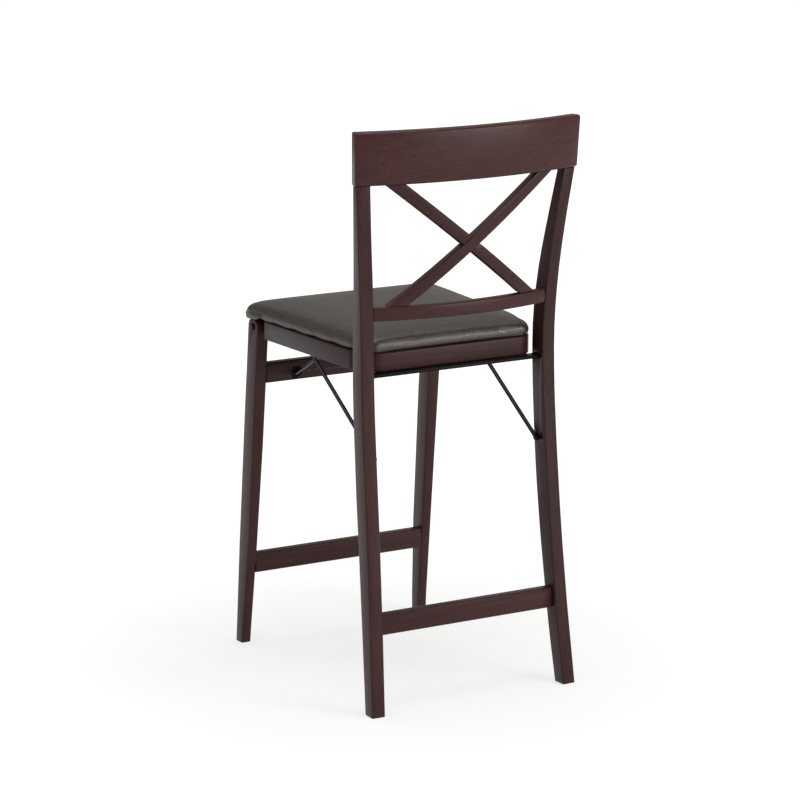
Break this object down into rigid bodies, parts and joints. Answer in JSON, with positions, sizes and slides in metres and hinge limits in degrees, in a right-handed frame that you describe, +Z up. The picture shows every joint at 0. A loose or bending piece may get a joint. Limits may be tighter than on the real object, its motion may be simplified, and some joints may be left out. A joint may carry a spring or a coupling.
{
  "type": "folding bar stool",
  "caption": "Tall folding wooden stool with a padded seat, bowed crest rail, crossed back slats, footrest rail and folding steel braces and wire links.",
  "frame": {"origin": "on the floor, at the centre of the bounding box's base", "axes": "+Z up along the stool's height, +Y towards the backrest, +X towards the sitter's left"},
  "size_m": [0.4808, 0.578, 1.0953],
  "materials": {
    "dark_wood": "satin stain",
    "inner_wood": "matt stain",
    "plywood": "raw",
    "vinyl": "pebbled, semi-gloss",
    "black_steel": "satin black"
  },
  "bodies": {
    "rear_frame": {"rear_post_left": "dark_wood", "rear_post_right": "dark_wood", "crest_rail": "dark_wood", "lower_back_rail": "dark_wood", "back_slat_rear": "dark_wood", "back_slat_front": "dark_wood", "rear_stretcher": "dark_wood", "seat_stop_bar": "black_steel", "brace_post_rivet_left": "black_steel", "brace_post_rivet_right": "black_steel"},
    "braces": {"brace_bar_left": "black_steel", "brace_bar_right": "black_steel"},
    "seat": {"seat_rear_rail": "dark_wood", "seat_side_rail_left": "dark_wood", "seat_side_rail_right": "dark_wood", "seat_front_rail": "dark_wood", "leg_hinge_block_left": "dark_wood", "leg_hinge_block_right": "dark_wood", "seat_corner_block_left": "inner_wood", "seat_corner_block_right": "inner_wood", "seat_board": "plywood", "seat_cushion": "vinyl", "brace_seat_rivet_left": "black_steel", "brace_seat_rivet_right": "black_steel", "leg_pivot_bolt_left": "black_steel", "leg_pivot_bolt_right": "black_steel", "leg_pivot_nut_left": "black_steel", "leg_pivot_nut_right": "black_steel"},
    "front_frame": {"front_leg_left": "dark_wood", "front_leg_right": "dark_wood", "front_cross_rail": "dark_wood", "footrest_rail": "dark_wood", "link_bracket_left": "black_steel", "link_bracket_right": "black_steel", "bracket_screw_outer_left": "black_steel", "bracket_screw_outer_right": "black_steel", "bracket_screw_inner_left": "black_steel", "bracket_screw_inner_right": "black_steel"},
    "links": {"wire_link_left": "black_steel", "wire_link_right": "black_steel"}
  },
  "joints": [
    {"name": "brace_fold", "type": "hinge", "parent": "rear_frame", "child": "braces", "pos_m": [0, 0.21095, 0.476], "axis": [-1, 0, 0], "range_deg": [0, 38]},
    {"name": "seat_fold", "type": "hinge", "parent": "braces", "child": "seat", "pos_m": [0, -0.0684, 0.6554], "axis": [1, 0, 0], "range_deg": [0, 129]},
    {"name": "front_frame_fold", "type": "hinge", "parent": "seat", "child": "front_frame", "pos_m": [0, -0.20995, 0.655], "axis": [-1, 0, 0], "range_deg": [0, 75]},
    {"name": "link_swing", "type": "hinge", "parent": "front_frame", "child": "links", "pos_m": [0, -0.18864, 0.556], "axis": [1, 0, 0], "range_deg": [0, 62]}
  ],
  "couplings": [
    {"joint": "seat_fold", "follows": "brace_fold", "ratio": 3.394},
    {"joint": "front_frame_fold", "follows": "brace_fold", "ratio": 1.973},
    {"joint": "link_swing", "follows": "brace_fold", "ratio": 1.6155}
  ]
}
